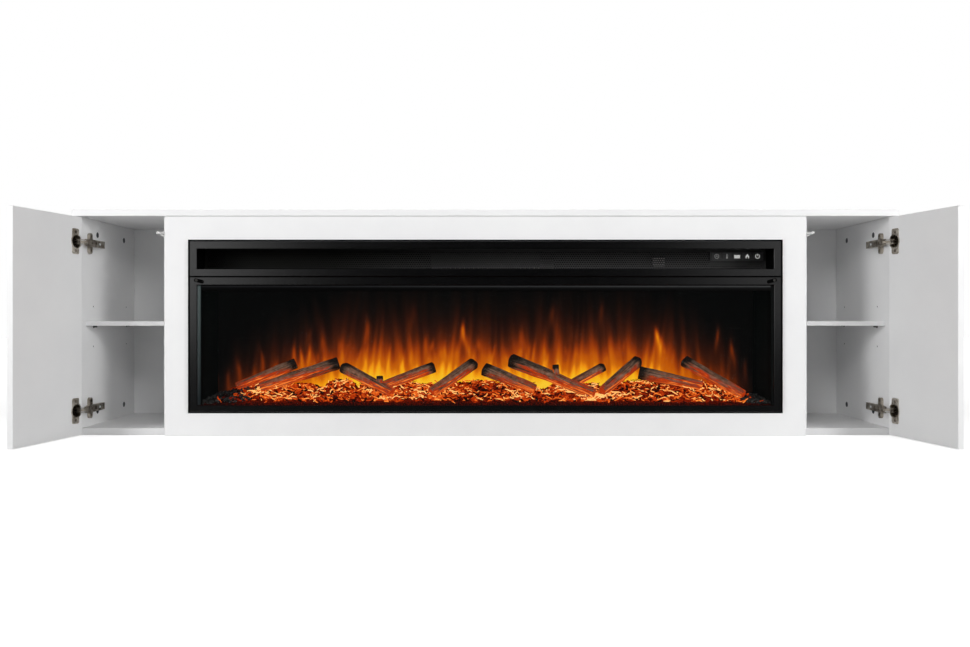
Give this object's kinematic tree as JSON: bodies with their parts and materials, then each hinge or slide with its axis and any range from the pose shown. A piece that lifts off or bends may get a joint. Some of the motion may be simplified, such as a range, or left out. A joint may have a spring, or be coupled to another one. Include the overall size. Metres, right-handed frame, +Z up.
{
  "type": "electric fireplace mantel",
  "caption": "Long white media cabinet with a linear electric fireplace insert in the middle and a hinged-door cupboard with a shelf at each end.",
  "frame": {"origin": "on the floor, at the middle of the cabinet's footprint", "axes": "+X to the cabinet's right as seen from the front, the front faces -Y, +Z up"},
  "size_m": [2.203, 0.5707, 0.58],
  "materials": {
    "white_board": "matt white laminate on board",
    "nickel": "nickel-plated, satin",
    "dark_zinc": "dark die-cast zinc",
    "pin_steel": "dark plated",
    "white_plastic": "smooth",
    "black_frame": "satin black powder coat",
    "black_sheet": "matt black",
    "black_screw": "black oxide",
    "front_glass": "clear tempered glass",
    "key_black": "satin black, printed pictograms",
    "board_green": "circuit board",
    "element_steel": "heat-tinted",
    "motor_grey": "grey enamel",
    "fan_plastic": "moulded",
    "flame_screen": "smoked screen lit by flames",
    "vane_foil": "bright foil vanes",
    "embers": "translucent resin lit from below",
    "logs": "moulded resin with bark relief"
  },
  "bodies": {
    "carcass": {"top_panel": "white_board", "bottom_panel": "white_board", "left_side_panel": "white_board", "right_side_panel": "white_board", "left_partition": "white_board", "right_partition": "white_board", "front_surround": "white_board", "left_back_panel": "white_board", "right_back_panel": "white_board", "rear_rail": "white_board", "left_shelf": "white_board", "right_shelf": "white_board", "shelf_pins": "pin_steel", "connector_cams": "dark_zinc", "left_hinge_plates": "nickel", "right_hinge_plates": "nickel", "left_hinge_arms": "nickel", "right_hinge_arms": "nickel", "left_latch_body": "white_plastic", "right_latch_body": "white_plastic", "mounting_flange": "black_frame", "upper_frame": "black_frame", "glass_frame": "black_frame", "glass_frame_screws": "black_screw", "front_glass": "front_glass", "housing_wrapper": "black_sheet", "housing_ends": "black_sheet", "heater_tray": "black_sheet", "perforated_grille": "black_sheet", "key_bezel": "key_black", "control_board": "board_green", "heater_duct": "black_sheet", "heating_element": "element_steel", "blower_motor": "motor_grey", "flame_screen": "flame_screen", "ember_bed": "embers", "spindle_motor": "motor_grey", "spindle_bearing": "fan_plastic", "light_strip": "board_green", "cord_gland": "fan_plastic", "left_logs": "logs", "middle_logs": "logs", "right_logs": "logs"},
    "left_inner_link": {"left_hinge_inner_links": "nickel"},
    "left_outer_link": {"left_hinge_outer_links": "nickel"},
    "left_door_leaf": {"left_door": "white_board", "left_hinge_cups": "nickel"},
    "left_plunger": {"left_latch_plunger": "white_plastic"},
    "right_inner_link": {"right_hinge_inner_links": "nickel"},
    "right_outer_link": {"right_hinge_outer_links": "nickel"},
    "right_door_leaf": {"right_door": "white_board", "right_hinge_cups": "nickel"},
    "right_plunger": {"right_latch_plunger": "white_plastic"},
    "timer_key_cap": {"timer_key": "key_black"},
    "temperature_key_cap": {"temperature_key": "key_black"},
    "heat_key_cap": {"heat_key": "key_black"},
    "flame_key_cap": {"flame_key": "key_black"},
    "power_key_cap": {"power_key": "key_black"},
    "blower": {"blower_wheel": "fan_plastic"},
    "spindle": {"flame_spindle": "vane_foil"}
  },
  "joints": [
    {"name": "left_inner_link_turn", "type": "hinge", "parent": "carcass", "child": "left_inner_link", "pos_m": [-1.02773, -0.15564, 0.282], "axis": [0, 0, -1], "range_deg": [-1.3, 33.6]},
    {"name": "left_outer_link_turn", "type": "hinge", "parent": "carcass", "child": "left_outer_link", "pos_m": [-1.02761, -0.16737, 0.282], "axis": [0, 0, -1], "range_deg": [-1.4, 37.3]},
    {"name": "left_door_swing", "type": "hinge", "parent": "left_inner_link", "child": "left_door_leaf", "pos_m": [-1.04316, -0.17283, 0.282], "axis": [0, 0, -1], "range_deg": [-134.98, 4.65]},
    {"name": "left_plunger_slide", "type": "slide", "parent": "carcass", "child": "left_plunger", "axis": [0, -1, 0], "range_m": [-0.0166, 0.0007]},
    {"name": "right_inner_link_turn", "type": "hinge", "parent": "carcass", "child": "right_inner_link", "pos_m": [1.02773, -0.15564, 0.282], "axis": [0, 0, 1], "range_deg": [-1.3, 33.6]},
    {"name": "right_outer_link_turn", "type": "hinge", "parent": "carcass", "child": "right_outer_link", "pos_m": [1.02761, -0.16737, 0.282], "axis": [0, 0, 1], "range_deg": [-1.4, 37.3]},
    {"name": "right_door_swing", "type": "hinge", "parent": "right_inner_link", "child": "right_door_leaf", "pos_m": [1.04316, -0.17283, 0.282], "axis": [0, 0, 1], "range_deg": [-134.98, 4.65]},
    {"name": "right_plunger_slide", "type": "slide", "parent": "carcass", "child": "right_plunger", "axis": [0, -1, 0], "range_m": [-0.0166, 0.0007]},
    {"name": "timer_key_push", "type": "slide", "parent": "carcass", "child": "timer_key_cap", "axis": [0, 1, 0], "range_m": [0, 0.001], "stiffness_N_per_m": 400},
    {"name": "temperature_key_push", "type": "slide", "parent": "carcass", "child": "temperature_key_cap", "axis": [0, 1, 0], "range_m": [0, 0.001], "stiffness_N_per_m": 400},
    {"name": "heat_key_push", "type": "slide", "parent": "carcass", "child": "heat_key_cap", "axis": [0, 1, 0], "range_m": [0, 0.001], "stiffness_N_per_m": 400},
    {"name": "flame_key_push", "type": "slide", "parent": "carcass", "child": "flame_key_cap", "axis": [0, 1, 0], "range_m": [0, 0.001], "stiffness_N_per_m": 400},
    {"name": "power_key_push", "type": "slide", "parent": "carcass", "child": "power_key_cap", "axis": [0, 1, 0], "range_m": [0, 0.001], "stiffness_N_per_m": 400},
    {"name": "blower_spin", "type": "hinge", "parent": "carcass", "child": "blower", "pos_m": [0, -0.004, 0.4424], "axis": [1, 0, 0], "continuous": true},
    {"name": "spindle_spin", "type": "hinge", "parent": "carcass", "child": "spindle", "pos_m": [0, 0.051, 0.121], "axis": [1, 0, 0], "continuous": true}
  ],
  "couplings": [
    {"joint": "left_inner_link_turn", "follows": "left_door_swing", "ratio": -0.24804},
    {"joint": "left_outer_link_turn", "follows": "left_door_swing", "ratio": -0.27493},
    {"joint": "left_plunger_slide", "follows": "left_door_swing", "m_per_rad": 0.007004},
    {"joint": "right_inner_link_turn", "follows": "right_door_swing", "ratio": -0.24804},
    {"joint": "right_outer_link_turn", "follows": "right_door_swing", "ratio": -0.27493},
    {"joint": "right_plunger_slide", "follows": "right_door_swing", "m_per_rad": 0.007004}
  ]
}
